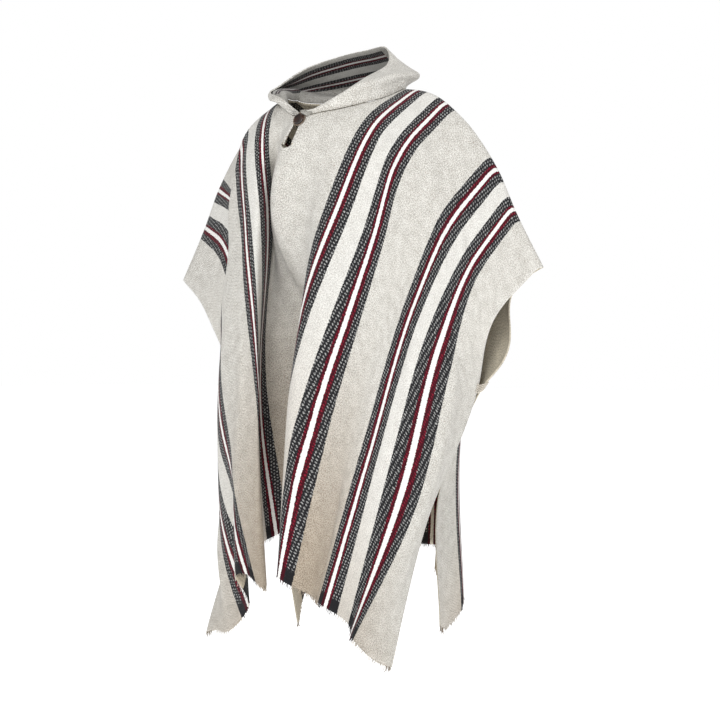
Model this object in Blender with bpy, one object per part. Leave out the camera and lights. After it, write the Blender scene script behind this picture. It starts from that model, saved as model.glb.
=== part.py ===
"""A worn hooded wool poncho: one striped cloth over the shoulders, its hood, button and side tacks.

The wearer faces -Y, so the wearer's left hand side is +X. The origin is where the shoulders carry the cloth,
at the root of the neck. The cloth is laid out in two coordinates: u runs across it from the neck's middle to
a selvedge, and t runs down it from the fold over the shoulders, 0, to the hem, 1.
"""

import bpy
import numpy as np

CUT_WIDTH = 1.058
FOLD_TO_HEM = 0.86
WALL = 0.003
SEAM_GAP = 0.0003
HALF_WIDTH = CUT_WIDTH / 2

CHEST_T = 0.16
WAIST_T = 0.34
THIGH_T = 0.66
DRAPE_ROWS = 161
DRAPE_COLUMNS = 1059
FOLD_ROUNDING = 0.022
ROUND_SPEED = 0.93
LEAST_FALL = 0.12

FOLD_CLEAR = 0.00018
NECK_HALF_WIDTH = 0.112
NECK_FRONT_DROP = 0.138
NECK_BACK_DROP = 0.034
NECK_MIDDLE = -0.03
SEAM_PROBE = 0.0035
SLIT_HALF_WIDTH = 0.0055
SLIT_END = 0.208
SLIT_SIDE = 0.0003
NECK_ROWS = np.array([0.0165, 0.033])
SLIT_COLUMNS = np.array([-0.9999, -0.7, 0.0, 0.7, 0.9999]) * SLIT_HALF_WIDTH

FRONT_COLUMNS = 22
FRONT_ROWS = 21
BACK_COLUMNS = 17
BACK_ROWS = 16
HOOD_ROWS = 7

FIRST_ANGLE = np.arcsin((SLIT_HALF_WIDTH + SLIT_SIDE) / NECK_HALF_WIDTH)
FRONT_ANGLES = np.linspace(FIRST_ANGLE, np.pi / 2, 11)
BACK_ANGLES = np.linspace(np.pi / 2, 1.5 * np.pi, 23)
HOOD_STAND = 0.008
HOOD_RISES = np.array([0.0, 0.14, 0.55, 1.0])
BUTTON_RADIUS = 0.0095
BUTTON_DEPTH = 0.0042
BUTTON_U = 0.002
BUTTON_DROP = 0.155
BUTTON_SIDES = 28
LOOP_RADIUS = 0.0112
LOOP_THREAD = 0.0011
LOOP_SIDES = 6
TACK_T = 0.333
TACK_REACH = 0.007
TACK_HALF_LENGTH = 0.006
TACK_THICKNESS = 0.0016
TACK_ROWS = TACK_T + np.array([-1.0, 0.0, 1.0]) * TACK_HALF_LENGTH / FOLD_TO_HEM
TACK_COLUMN = np.array([HALF_WIDTH - TACK_REACH])
FOLD_END = 0.012
SHARP_EDGE = np.radians(50)

WOOL = (0.62, 0.57, 0.50)
HOOD_WOOL = (0.64, 0.59, 0.53)
HORN = (0.05, 0.02, 0.014)
CORD = (0.30, 0.24, 0.19)
THREAD = (0.70, 0.66, 0.60)

# The fold over the shoulders: across the cloth, across the wearer, height.
SHOULDER_ROWS = (
    ("neck middle", 0.000, 0.000, 0.020),
    ("neck side", 0.100, 0.100, 0.018),
    ("shoulder", 0.170, 0.166, 0.004),
    ("shoulder end", 0.230, 0.212, -0.028),
    ("upper arm", 0.347, 0.290, -0.125),
    ("lower arm", 0.416, 0.322, -0.190),
    ("elbow", 0.529, 0.374, -0.282),
)

# The front's folds, from the wearer's right selvedge to the left one. Columns: u at the chest, thigh and hem,
# the share of the cloth's length that shows, the rest being small ripples, then the plan place (across,
# forward) at the chest, waist, thigh and hem.
FRONT_FOLDS = (
    ("right selvedge", (-0.529, -0.529, -0.529), 0.8,
     (-0.292, 0.030), (-0.255, 0.003), (-0.230, 0.020), (-0.222, 0.112)),
    ("right margin", (-0.450, -0.483, -0.505), 0.81,
     (-0.250, 0.038), (-0.237, 0.026), (-0.232, 0.042), (-0.202, 0.108)),
    ("right tail tuck", (-0.360, -0.434, -0.485), 0.83,
     (-0.205, 0.050), (-0.207, 0.060), (-0.226, 0.070), (-0.184, 0.107)),
    ("right outer crest", (-0.240, -0.362, -0.445), 0.85,
     (-0.172, 0.100), (-0.178, 0.124), (-0.198, 0.106), (-0.148, 0.108)),
    ("right skirt tuck", (-0.218, -0.333, -0.412), 0.86,
     (-0.160, 0.104), (-0.160, 0.130), (-0.166, 0.124), (-0.117, 0.122)),
    ("right skirt crest", (-0.195, -0.304, -0.378), 0.86,
     (-0.143, 0.107), (-0.132, 0.137), (-0.134, 0.141), (-0.109, 0.168)),
    ("right hollow", (-0.168, -0.262, -0.348), 0.88,
     (-0.120, 0.109), (-0.108, 0.139), (-0.096, 0.150), (-0.078, 0.172)),
    ("right main crest", (-0.140, -0.222, -0.315), 0.92,
     (-0.095, 0.112), (-0.083, 0.143), (-0.067, 0.160), (-0.051, 0.170)),
    ("right tuck", (-0.085, -0.118, -0.170), 0.97,
     (-0.060, 0.112), (-0.102, 0.066), (-0.118, 0.080), (-0.122, 0.078)),
    ("valley floor", (0.000, -0.010, -0.020), 0.95,
     (-0.004, 0.119), (-0.058, 0.134), (-0.020, 0.052), (0.000, 0.034)),
    ("left tuck", (0.040, 0.076, 0.110), 0.96,
     (0.034, 0.117), (0.012, 0.138), (0.036, 0.124), (0.046, 0.130)),
    ("left main crest", (0.088, 0.157, 0.203), 0.965,
     (0.078, 0.113), (0.060, 0.153), (0.038, 0.204), (0.033, 0.232)),
    ("left front", (0.215, 0.236, 0.250), 0.95,
     (0.172, 0.090), (0.160, 0.137), (0.118, 0.190), (0.070, 0.206)),
    ("left outer crest", (0.340, 0.340, 0.340), 0.88,
     (0.245, 0.072), (0.207, 0.113), (0.168, 0.178), (0.112, 0.224)),
    ("left step", (0.400, 0.400, 0.400), 0.84,
     (0.270, 0.058), (0.235, 0.103), (0.192, 0.149), (0.148, 0.200)),
    ("left margin crest", (0.440, 0.434, 0.430), 0.83,
     (0.284, 0.048), (0.252, 0.070), (0.219, 0.120), (0.163, 0.216)),
    ("left selvedge", (0.529, 0.529, 0.529), 0.825,
     (0.303, 0.030), (0.254, 0.003), (0.210, 0.080), (0.226, 0.198)),
)

# The back's folds, in the same columns, with the plan place as (across, backward).
BACK_FOLDS = (
    ("right selvedge", (-0.529, -0.529, -0.529), 0.79,
     (-0.292, 0.030), (-0.255, 0.006), (-0.200, 0.045), (-0.160, 0.060)),
    ("right side crest", (-0.420, -0.423, -0.425), 0.82,
     (-0.272, 0.058), (-0.236, 0.082), (-0.226, 0.116), (-0.212, 0.140)),
    ("right side hollow", (-0.310, -0.310, -0.310), 0.88,
     (-0.226, 0.080), (-0.182, 0.108), (-0.150, 0.112), (-0.136, 0.112)),
    ("right crest", (-0.200, -0.203, -0.205), 0.95,
     (-0.172, 0.100), (-0.148, 0.146), (-0.134, 0.188), (-0.128, 0.212)),
    ("right hollow", (-0.095, -0.098, -0.100), 0.97,
     (-0.085, 0.110), (-0.078, 0.136), (-0.074, 0.150), (-0.074, 0.152)),
    ("middle crest", (0.000, -0.006, -0.010), 0.97,
     (0.000, 0.113), (-0.008, 0.154), (-0.020, 0.194), (-0.028, 0.214)),
    ("left hollow", (0.095, 0.092, 0.090), 0.97,
     (0.085, 0.110), (0.062, 0.136), (0.036, 0.150), (0.022, 0.150)),
    ("left crest", (0.200, 0.200, 0.200), 0.95,
     (0.172, 0.098), (0.134, 0.142), (0.092, 0.184), (0.070, 0.204)),
    ("left side hollow", (0.310, 0.310, 0.310), 0.88,
     (0.222, 0.078), (0.166, 0.102), (0.118, 0.112), (0.098, 0.112)),
    ("left side crest", (0.395, 0.393, 0.392), 0.81,
     (0.264, 0.054), (0.208, 0.066), (0.160, 0.090), (0.160, 0.100)),
    ("left selvedge", (0.529, 0.529, 0.529), 0.76,
     (0.288, 0.030), (0.254, 0.006), (0.152, 0.040), (0.148, 0.050)),
)

# Where the back's edge is pushed out of its glide. Columns: u, t, how far it reaches across and down, the push
# aside and outward, and how much more of the cloth's length shows there.
BACK_PUSHES = (
    ("left armhole lip", 0.529, 0.245, 0.070, 0.070, 0.024, 0.010, 0.42),
)

# The button's half section. Columns: share of its radius, share of its depth.
BUTTON_PROFILE = (
    (0.62, 0.00),
    (0.92, 0.16),
    (1.00, 0.42),
    (0.97, 0.74),
    (0.84, 1.00),
    (0.66, 0.90),
    (0.40, 0.76),
    (0.16, 0.72),
)

# The hood, by the angle round the neck from the button. Columns: the rim's place and the belly's place.
HOOD_STATIONS = (
    ("left lapel end", 5.0, (0.008, -0.122, -0.015), (0.011, -0.124, -0.021)),
    ("left lapel", 40.0, (0.048, -0.096, 0.005), (0.074, -0.098, 0.008)),
    ("left side", 75.0, (0.052, -0.030, 0.036), (0.104, -0.034, 0.034)),
    ("left back", 110.0, (0.054, 0.030, 0.066), (0.106, 0.040, 0.046)),
    ("peak", 150.0, (0.016, 0.076, 0.106), (0.053, 0.105, 0.049)),
    ("back", 180.0, (-0.030, 0.086, 0.106), (-0.002, 0.138, 0.036)),
    ("right back", 215.0, (-0.070, 0.066, 0.097), (-0.066, 0.122, 0.036)),
    ("right shoulder", 250.0, (-0.101, 0.012, 0.073), (-0.118, 0.052, 0.040)),
    ("right side", 290.0, (-0.116, -0.046, 0.036), (-0.132, -0.032, 0.034)),
    ("right curl", 320.0, (-0.108, -0.078, 0.020), (-0.108, -0.080, 0.012)),
    ("right lapel", 345.0, (-0.044, -0.120, -0.002), (-0.048, -0.122, -0.008)),
    ("right lapel end", 355.0, (-0.008, -0.122, -0.010), (-0.011, -0.123, -0.018)),
)


def hermite(knots, values, at):
    """A smooth curve through values at the knots (last axis), read at `at`, with slopes from the neighbours."""
    knots = np.broadcast_to(knots, at.shape[:-1] + knots.shape[-1:])
    values = np.broadcast_to(values, at.shape[:-1] + values.shape[-1:])
    gaps = np.diff(knots, axis=-1)
    slopes = np.diff(values, axis=-1) / gaps
    before, after = gaps[..., :-1], gaps[..., 1:]
    inner = (slopes[..., :-1] * after + slopes[..., 1:] * before) / (before + after)
    tangents = np.concatenate([slopes[..., :1], inner, slopes[..., -1:]], axis=-1)
    cell = (knots[..., :, None] <= at[..., None, :]).sum(axis=-2) - 1
    cell = np.clip(cell, 0, knots.shape[-1] - 2)

    def pick(table, offset=0):
        return np.take_along_axis(table, cell + offset, axis=-1)

    span = pick(gaps)
    s = np.clip((at - pick(knots)) / span, 0.0, 1.0)
    return (
        pick(values) * (1 + 2 * s) * (1 - s) ** 2
        + pick(tangents) * span * s * (1 - s) ** 2
        + pick(values, 1) * s * s * (3 - 2 * s)
        + pick(tangents, 1) * span * s * s * (s - 1)
    )


def shoulder_line(u):
    """Across and height of the fold over the shoulders, the same on both sides of the neck."""
    table = np.array([row[1:] for row in SHOULDER_ROWS])
    knots = np.concatenate([-table[:0:-1, 0], table[:, 0]])
    across = np.concatenate([-table[:0:-1, 1], table[:, 1]])
    height = np.concatenate([table[:0:-1, 2], table[:, 2]])
    return hermite(knots, across, u), hermite(knots, height, u)


def fold_lines(folds, t):
    """Where each fold's row lies across the cloth at t: its chest place, then sliding by thigh to hem."""
    u_chest, u_thigh, u_hem = np.array([row[1] for row in folds]).T
    upper = np.clip((t - CHEST_T) / (THIGH_T - CHEST_T), 0.0, 1.0)[..., None]
    lower = np.clip((t - THIGH_T) / (1.0 - THIGH_T), 0.0, 1.0)[..., None]
    return u_chest + upper * (u_thigh - u_chest) + lower * (u_hem - u_thigh)


def draped(folds, facing, pushes=()):
    """The outer face of one half of the cloth, as points on a fine grid of t by u.

    Down each warp line the plan place glides from the shoulder fold through the chest, waist, thigh and hem,
    and at every level the folds' rows are joined by a smooth curve across u. The height then falls by what
    each short piece of warp has left after its plan move, so the cloth keeps its length.
    """
    u = np.linspace(-HALF_WIDTH, HALF_WIDTH, DRAPE_COLUMNS)
    t = np.linspace(0.0, 1.0, DRAPE_ROWS)
    levels = np.array([0.0, CHEST_T, WAIST_T, THIGH_T, 1.0])
    places = np.array([((0.0, 0.0), *row[3:7]) for row in folds])
    inward = places[..., 0] - shoulder_line(fold_lines(folds, levels).T)[0]
    inward[:, 0] = 0.0
    inward = hermite(levels, inward, np.broadcast_to(t, (len(folds), t.size))).T
    out = hermite(levels, places[..., 1], np.broadcast_to(t, (len(folds), t.size))).T
    lines = fold_lines(folds, t)
    wide = np.broadcast_to(u, (t.size, u.size))
    ridge_x, ridge_z = shoulder_line(u)
    across = ridge_x + hermite(lines, inward, wide)
    out = hermite(lines, out, wide)
    run = t[:, None] * FOLD_TO_HEM
    steepness = ROUND_SPEED - hermite(lines[0], places[:, 1, 1], u) / (CHEST_T * FOLD_TO_HEM)
    out = out + steepness * run * np.exp(-run / FOLD_ROUNDING)
    shown = np.broadcast_to(hermite(lines[-1], np.array([row[2] for row in folds]), u), wide.shape)
    for _, u_at, t_at, u_reach, t_reach, aside, outward, longer in pushes:
        pushed = np.exp(-((wide - u_at) / u_reach) ** 2 - ((t[:, None] - t_at) / t_reach) ** 2)
        across = across + aside * pushed
        out = out + outward * pushed
        shown = shown * (1.0 + longer * pushed)

    step = FOLD_TO_HEM * t[1] * shown[1:]
    moved = np.hypot(np.diff(across, axis=0), np.diff(out, axis=0))
    fall = np.sqrt(np.maximum(step ** 2 - moved ** 2, (LEAST_FALL * step) ** 2))
    height = ridge_z - np.concatenate([np.zeros((1, u.size)), np.cumsum(fall, axis=0)])
    return np.stack([across, facing * out, height], axis=-1)


FRONT_DRAPE = draped(FRONT_FOLDS, -1.0)
BACK_DRAPE = draped(BACK_FOLDS, 1.0, BACK_PUSHES)


def read_drape(drape, u, t):
    """Points of a drape at any u and t, mixed from the four grid points around each."""
    column = np.clip((u / CUT_WIDTH + 0.5) * (DRAPE_COLUMNS - 1), 0.0, DRAPE_COLUMNS - 1.001)
    row = np.clip(t * (DRAPE_ROWS - 1), 0.0, DRAPE_ROWS - 1.001)
    i, j = row.astype(int), column.astype(int)
    a, b = (row - i)[..., None], (column - j)[..., None]
    upper = drape[i, j] * (1 - b) + drape[i, j + 1] * b
    lower = drape[i + 1, j] * (1 - b) + drape[i + 1, j + 1] * b
    return upper * (1 - a) + lower * a


def front_at(u, t):
    """Points on the outer face of the front."""
    return read_drape(FRONT_DRAPE, *np.broadcast_arrays(u, t))


def back_at(u, t):
    """Points on the outer face of the back."""
    return read_drape(BACK_DRAPE, *np.broadcast_arrays(u, t))


def neck_start(u, drop):
    """How far down the cloth begins at u, as a share of its length: an oval hole, or the fold beside it."""
    oval = np.sqrt(np.clip(1.0 - (u / NECK_HALF_WIDTH) ** 2, 0.0, None))
    return (drop * oval + FOLD_CLEAR) / FOLD_TO_HEM


def front_start(u):
    """The front's upper edge: the oval neck hole, with the buttonhole slit cut down from its middle."""
    inside = np.clip(1.0 - (u / SLIT_HALF_WIDTH) ** 2, 0.0, None)
    slit = (SLIT_END - SLIT_HALF_WIDTH + SLIT_HALF_WIDTH * np.sqrt(inside)) / FOLD_TO_HEM
    return np.where(np.abs(u) < SLIT_HALF_WIDTH, slit, neck_start(u, NECK_FRONT_DROP))


def back_start(u):
    """The back's upper edge: the shallow half of the neck hole."""
    return neck_start(u, NECK_BACK_DROP)


def spaced(low, high, count, extra):
    """Even values from low to high and those given, with no even one within a third of a step of these."""
    even = np.linspace(low, high, count)
    third = (even[1] - even[0]) / 3
    kept = even[np.min(np.abs(even[:, None] - extra[None, :]), axis=1) > third]
    return np.unique(np.concatenate([kept, extra, [low, high]]))


def cloth_columns(outside, neck_angles, more=()):
    """The columns of one half: the neck seam's own points, and even ones out to each selvedge."""
    beyond = spaced(NECK_HALF_WIDTH, HALF_WIDTH, outside, TACK_COLUMN)
    at_neck = NECK_HALF_WIDTH * np.sin(neck_angles[1:-1])
    return np.unique(np.concatenate([-beyond, at_neck, more, beyond]))


def outward_normals(points, flip=1.0):
    """Unit normals of a grid of points, from its two slopes."""
    down = np.gradient(points, axis=0)
    along = np.gradient(points, axis=1)
    normal = np.cross(down, along) * flip
    return normal / np.linalg.norm(normal, axis=-1, keepdims=True)


def wall(name, outer, inner, colour, roughness):
    """One closed wall between an outer and an inner grid, with its four edges closed."""
    rows, columns = outer.shape[:2]
    verts = np.concatenate([outer.reshape(-1, 3), inner.reshape(-1, 3)])
    ids = np.arange(rows * columns).reshape(rows, columns)
    back = ids + rows * columns
    faces = []

    def strip(a, b, c, d):
        faces.extend(np.stack([a, b, c, d], axis=-1).reshape(-1, 4).tolist())

    strip(ids[:-1, :-1], ids[1:, :-1], ids[1:, 1:], ids[:-1, 1:])
    strip(back[:-1, :-1], back[:-1, 1:], back[1:, 1:], back[1:, :-1])
    strip(ids[0, :-1], ids[0, 1:], back[0, 1:], back[0, :-1])
    strip(ids[-1, 1:], ids[-1, :-1], back[-1, :-1], back[-1, 1:])
    strip(ids[1:, 0], ids[:-1, 0], back[:-1, 0], back[1:, 0])
    strip(ids[:-1, -1], ids[1:, -1], back[1:, -1], back[:-1, -1])
    return add_mesh(name, verts, faces, colour, roughness)


def add_mesh(name, verts, faces, colour, roughness):
    """A named object with its own plain material."""
    mesh = bpy.data.meshes.new(name)
    mesh.from_pydata([tuple(v) for v in verts], [], faces)
    mesh.validate()
    mesh.shade_smooth()
    mesh.set_sharp_from_angle(angle=SHARP_EDGE)
    material = bpy.data.materials.new(name)
    material.use_nodes = True
    shader = material.node_tree.nodes["Principled BSDF"]
    shader.inputs["Base Color"].default_value = (*colour, 1.0)
    shader.inputs["Roughness"].default_value = roughness
    mesh.materials.append(material)
    piece = bpy.data.objects.new(name, mesh)
    bpy.context.scene.collection.objects.link(piece)
    return piece


def sliding(folds, u, t):
    """Columns that start at u and follow the folds down, so that a crest stays on its own columns."""
    start, now = fold_lines(folds, np.zeros(1))[0], fold_lines(folds, t)
    cell = np.clip(np.searchsorted(start, u, side="right") - 1, 0, start.size - 2)
    cell = np.broadcast_to(cell, t.shape)
    part = (u - start[cell]) / (start[cell + 1] - start[cell])
    low, high = (np.take_along_axis(now, (cell + k)[..., None], axis=-1)[..., 0] for k in (0, 1))
    return low + part * (high - low)


def cloth_wall(name, folds, at, start, u, rows, colour):
    """One half of the cloth as a wall: the outer face from the drape, the inner one a thickness behind it."""
    first = start(u)
    shares = spaced(0.0, 1.0, rows, np.concatenate([NECK_ROWS, TACK_ROWS]))
    t = first + shares[:, None] * (1.0 - first)
    outer = at(sliding(folds, u, t), t)
    if at is back_at:
        outer = outer[:, ::-1]
    normals = outward_normals(outer)
    edge = np.gradient(outer[0], axis=0)
    upright = np.stack([-edge[:, 2], np.zeros(u.size), edge[:, 0]], axis=-1) * np.sign(edge[:, :1])
    upright /= np.linalg.norm(upright, axis=-1, keepdims=True)
    below = np.abs(outer[0, :, 1:2])
    level = np.clip((FOLD_END - below) / (FOLD_END - SEAM_GAP), 0.0, 1.0)
    normals[0] = level * upright + (1.0 - level) * normals[0]
    normals[0] /= np.linalg.norm(normals[0], axis=-1, keepdims=True)
    return wall(name, outer, outer - WALL * normals, colour, 0.95)


def neck_seam(angle):
    """The neck hole's edge by its angle from the button: point, the cloth's normal, the way into the hole."""
    u = NECK_HALF_WIDTH * np.sin(angle)
    in_front = np.cos(angle) >= 0.0
    drop = np.where(in_front, NECK_FRONT_DROP, NECK_BACK_DROP)
    t = (drop * np.abs(np.cos(angle)) + FOLD_CLEAR) / FOLD_TO_HEM

    def on_cloth(u_at, t_at):
        return np.where(in_front[:, None], front_at(u_at, t_at), back_at(u_at, t_at))

    point = on_cloth(u, t)
    down = on_cloth(u, t + SEAM_PROBE / FOLD_TO_HEM) - point
    side = on_cloth(u + SEAM_PROBE, t) - point
    normal = np.cross(side, down)
    normal *= np.sign(normal[:, 2:])
    normal /= np.linalg.norm(normal, axis=-1, keepdims=True)
    inside = np.array([0.0, NECK_MIDDLE, 0.0]) - point * [1.0, 1.0, 0.0]
    inside -= normal * (inside * normal).sum(axis=-1, keepdims=True)
    inside /= np.linalg.norm(inside, axis=-1, keepdims=True)
    return point, normal, inside


def hood_at(angle, rise):
    """The hood's outer face: round the neck by angle, and from the neck seam at 0 to the rim at 1."""
    stations = np.array([row[1] for row in HOOD_STATIONS])
    degrees = np.broadcast_to(np.degrees(angle), (3, angle.size))
    rim = hermite(stations, np.array([row[2] for row in HOOD_STATIONS]).T, degrees).T
    belly = hermite(stations, np.array([row[3] for row in HOOD_STATIONS]).T, degrees).T
    point, normal, inside = neck_seam(angle)
    foot = point + 2 * SEAM_GAP * (normal + inside)
    stand = foot + HOOD_STAND * normal
    stack = np.stack([foot, stand, belly, rim], axis=-1)
    lifted = hermite(HOOD_RISES, stack, np.broadcast_to(rise, (angle.size, 3, rise.size)))
    return np.transpose(lifted, (2, 0, 1))


def hood():
    """The hood as one wall round the neck hole, from one side of the slit to the other."""
    angle = np.concatenate([FRONT_ANGLES, BACK_ANGLES[1:-1], 2 * np.pi - FRONT_ANGLES[::-1]])[::-1]
    outer = hood_at(angle, np.linspace(0.0, 1.0, HOOD_ROWS))
    return wall("hood", outer, outer - WALL * outward_normals(outer), HOOD_WOOL, 0.95)


def button_frame():
    """The button's seat on the front: its middle, and the cloth's normal and two ways along it."""
    t = (BUTTON_DROP + np.array([-1.0, 0.0, 1.0]) * BUTTON_RADIUS) / FOLD_TO_HEM
    above, middle, below = front_at(np.full(3, BUTTON_U), t)
    down = below - above
    down /= np.linalg.norm(down)
    side = np.array([1.0, 0.0, 0.0])
    side -= down * side.dot(down)
    side /= np.linalg.norm(side)
    return middle, np.cross(down, side), side, down


def button():
    """A domed disc turned about the cloth's normal, with a dished middle inside a raised rim."""
    middle, out, side, down = button_frame()
    seat = SEAM_GAP
    turn = np.linspace(0.0, 2 * np.pi, BUTTON_SIDES, endpoint=False)
    ring = np.cos(turn)[:, None] * side + np.sin(turn)[:, None] * down
    verts = [middle + out * seat]
    for reach, lift in BUTTON_PROFILE:
        verts.extend(middle + ring * reach * BUTTON_RADIUS + out * (seat + lift * BUTTON_DEPTH))
    verts.append(middle + out * (seat + BUTTON_PROFILE[-1][1] * BUTTON_DEPTH))
    faces = []
    last = len(verts) - 1
    top = last - BUTTON_SIDES
    for k in range(BUTTON_SIDES):
        after = (k + 1) % BUTTON_SIDES
        faces.append((0, 1 + k, 1 + after))
        faces.append((last, top + after, top + k))
        for level in range(len(BUTTON_PROFILE) - 1):
            low = 1 + level * BUTTON_SIDES
            faces.append((low + after, low + k, low + BUTTON_SIDES + k, low + BUTTON_SIDES + after))
    return add_mesh("button", verts, faces, HORN, 0.25)


def button_loop():
    """A ring of cord lying on the cloth round the button."""
    middle, out, side, down = button_frame()
    turn = np.linspace(0.0, 2 * np.pi, BUTTON_SIDES, endpoint=False)[:, None, None]
    around = np.linspace(0.0, 2 * np.pi, LOOP_SIDES, endpoint=False)[None, :, None]
    radial = np.cos(turn) * side + np.sin(turn) * down
    lift = SEAM_GAP + LOOP_THREAD
    ring = middle + radial * (LOOP_RADIUS + LOOP_THREAD * np.cos(around))
    ring = ring + out * (lift + LOOP_THREAD * np.sin(around))
    ids = np.arange(BUTTON_SIDES * LOOP_SIDES).reshape(BUTTON_SIDES, LOOP_SIDES)
    after = np.roll(ids, -1, axis=0)
    faces = np.stack([ids, np.roll(ids, -1, axis=1), np.roll(after, -1, axis=1), after], axis=-1).reshape(-1, 4)
    return add_mesh("button_loop", ring.reshape(-1, 3), faces.tolist(), CORD, 0.9)


def side_tack(name, sign):
    """A few stitches over the two selvedges where they meet, made from the cloth's own edge points."""
    reach = np.array([HALF_WIDTH - TACK_REACH, HALF_WIDTH]) * sign
    first = neck_start(reach[:1], NECK_FRONT_DROP)
    t = np.repeat((first + TACK_ROWS * (1.0 - first))[:, None], 2, axis=1)
    front_part = front_at(sliding(FRONT_FOLDS, reach, t), t)
    back_part = back_at(sliding(BACK_FOLDS, reach[::-1], t), t)
    strip = np.concatenate([front_part, back_part], axis=1)
    if sign < 0:
        strip = strip[:, ::-1]
    normals = outward_normals(strip)
    inner = strip + normals * 2 * SEAM_GAP
    return wall(name, inner + normals * TACK_THICKNESS, inner, THREAD, 0.9)


def build():
    for old in list(bpy.data.objects):
        bpy.data.objects.remove(old, do_unlink=True)
    front_angles = np.concatenate([-FRONT_ANGLES[::-1], FRONT_ANGLES])
    columns = cloth_columns(FRONT_COLUMNS, front_angles, SLIT_COLUMNS)
    cloth_wall("front", FRONT_FOLDS, front_at, front_start, columns, FRONT_ROWS, WOOL)
    columns = cloth_columns(BACK_COLUMNS, BACK_ANGLES)
    cloth_wall("back", BACK_FOLDS, back_at, back_start, columns, BACK_ROWS, WOOL)
    hood()
    button()
    button_loop()
    side_tack("left_side_tack", 1.0)
    side_tack("right_side_tack", -1.0)


build()
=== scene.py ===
"""The looks of a worn, hooded wool poncho, on nobody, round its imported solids.

The wearer faces -Y, so the wearer's left hand side is +X, and the origin is where the shoulders carry the cloth.
The body is one striped cloth laid over the shoulders: u runs across it from the neck's middle to a selvedge, and
t runs down it from the shoulder fold, 0, to a hem, 1. Lengths are in metres.
"""

import bpy
import numpy as np
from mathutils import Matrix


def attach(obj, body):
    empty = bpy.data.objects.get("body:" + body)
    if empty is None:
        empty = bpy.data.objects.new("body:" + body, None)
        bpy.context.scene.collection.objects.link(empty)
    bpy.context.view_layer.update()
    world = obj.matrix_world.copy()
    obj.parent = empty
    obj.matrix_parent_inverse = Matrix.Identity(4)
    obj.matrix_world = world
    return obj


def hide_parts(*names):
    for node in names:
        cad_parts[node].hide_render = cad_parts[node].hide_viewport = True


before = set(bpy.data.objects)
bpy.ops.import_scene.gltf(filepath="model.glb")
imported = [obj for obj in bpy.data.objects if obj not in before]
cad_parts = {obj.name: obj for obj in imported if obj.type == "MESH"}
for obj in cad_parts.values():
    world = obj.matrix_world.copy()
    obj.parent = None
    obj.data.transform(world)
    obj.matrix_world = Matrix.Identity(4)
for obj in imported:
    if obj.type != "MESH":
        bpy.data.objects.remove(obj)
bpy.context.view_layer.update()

CUT_WIDTH = 1.058
FOLD_TO_HEM = 0.86
HALF_WIDTH = CUT_WIDTH / 2
FRINGE = 0.006

CHEST_T = 0.16
WAIST_T = 0.34
THIGH_T = 0.66
DRAPE_ROWS = 161
DRAPE_COLUMNS = 1059
FOLD_ROUNDING = 0.022
ROUND_SPEED = 0.93
LEAST_FALL = 0.12

SEAM_GAP = 0.0003
FOLD_CLEAR = 0.00018
NECK_HALF_WIDTH = 0.112
NECK_FRONT_DROP = 0.147
NECK_BACK_DROP = 0.034
NECK_MIDDLE = -0.03
SEAM_PROBE = 0.0035
SLIT_HALF_WIDTH = 0.0055
SLIT_END = 0.208

HOOD_STAND = 0.008
HOOD_RISES = np.array([0.0, 0.14, 0.55, 1.0])
BUTTON_RADIUS = 0.0095
BUTTON_DEPTH = 0.0042
BUTTON_U = 0.002
BUTTON_DROP = 0.155
LOOP_RADIUS = 0.0112
LOOP_THREAD = 0.0011
TACK_T = 0.333

# The fold over the shoulders: across the cloth, across the wearer, height.
SHOULDER_ROWS = (
    ("neck middle", 0.000, 0.000, 0.020),
    ("neck side", 0.100, 0.100, 0.018),
    ("shoulder", 0.170, 0.166, 0.004),
    ("shoulder end", 0.230, 0.212, -0.028),
    ("upper arm", 0.347, 0.290, -0.125),
    ("lower arm", 0.416, 0.322, -0.190),
    ("elbow", 0.529, 0.374, -0.282),
)

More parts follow.
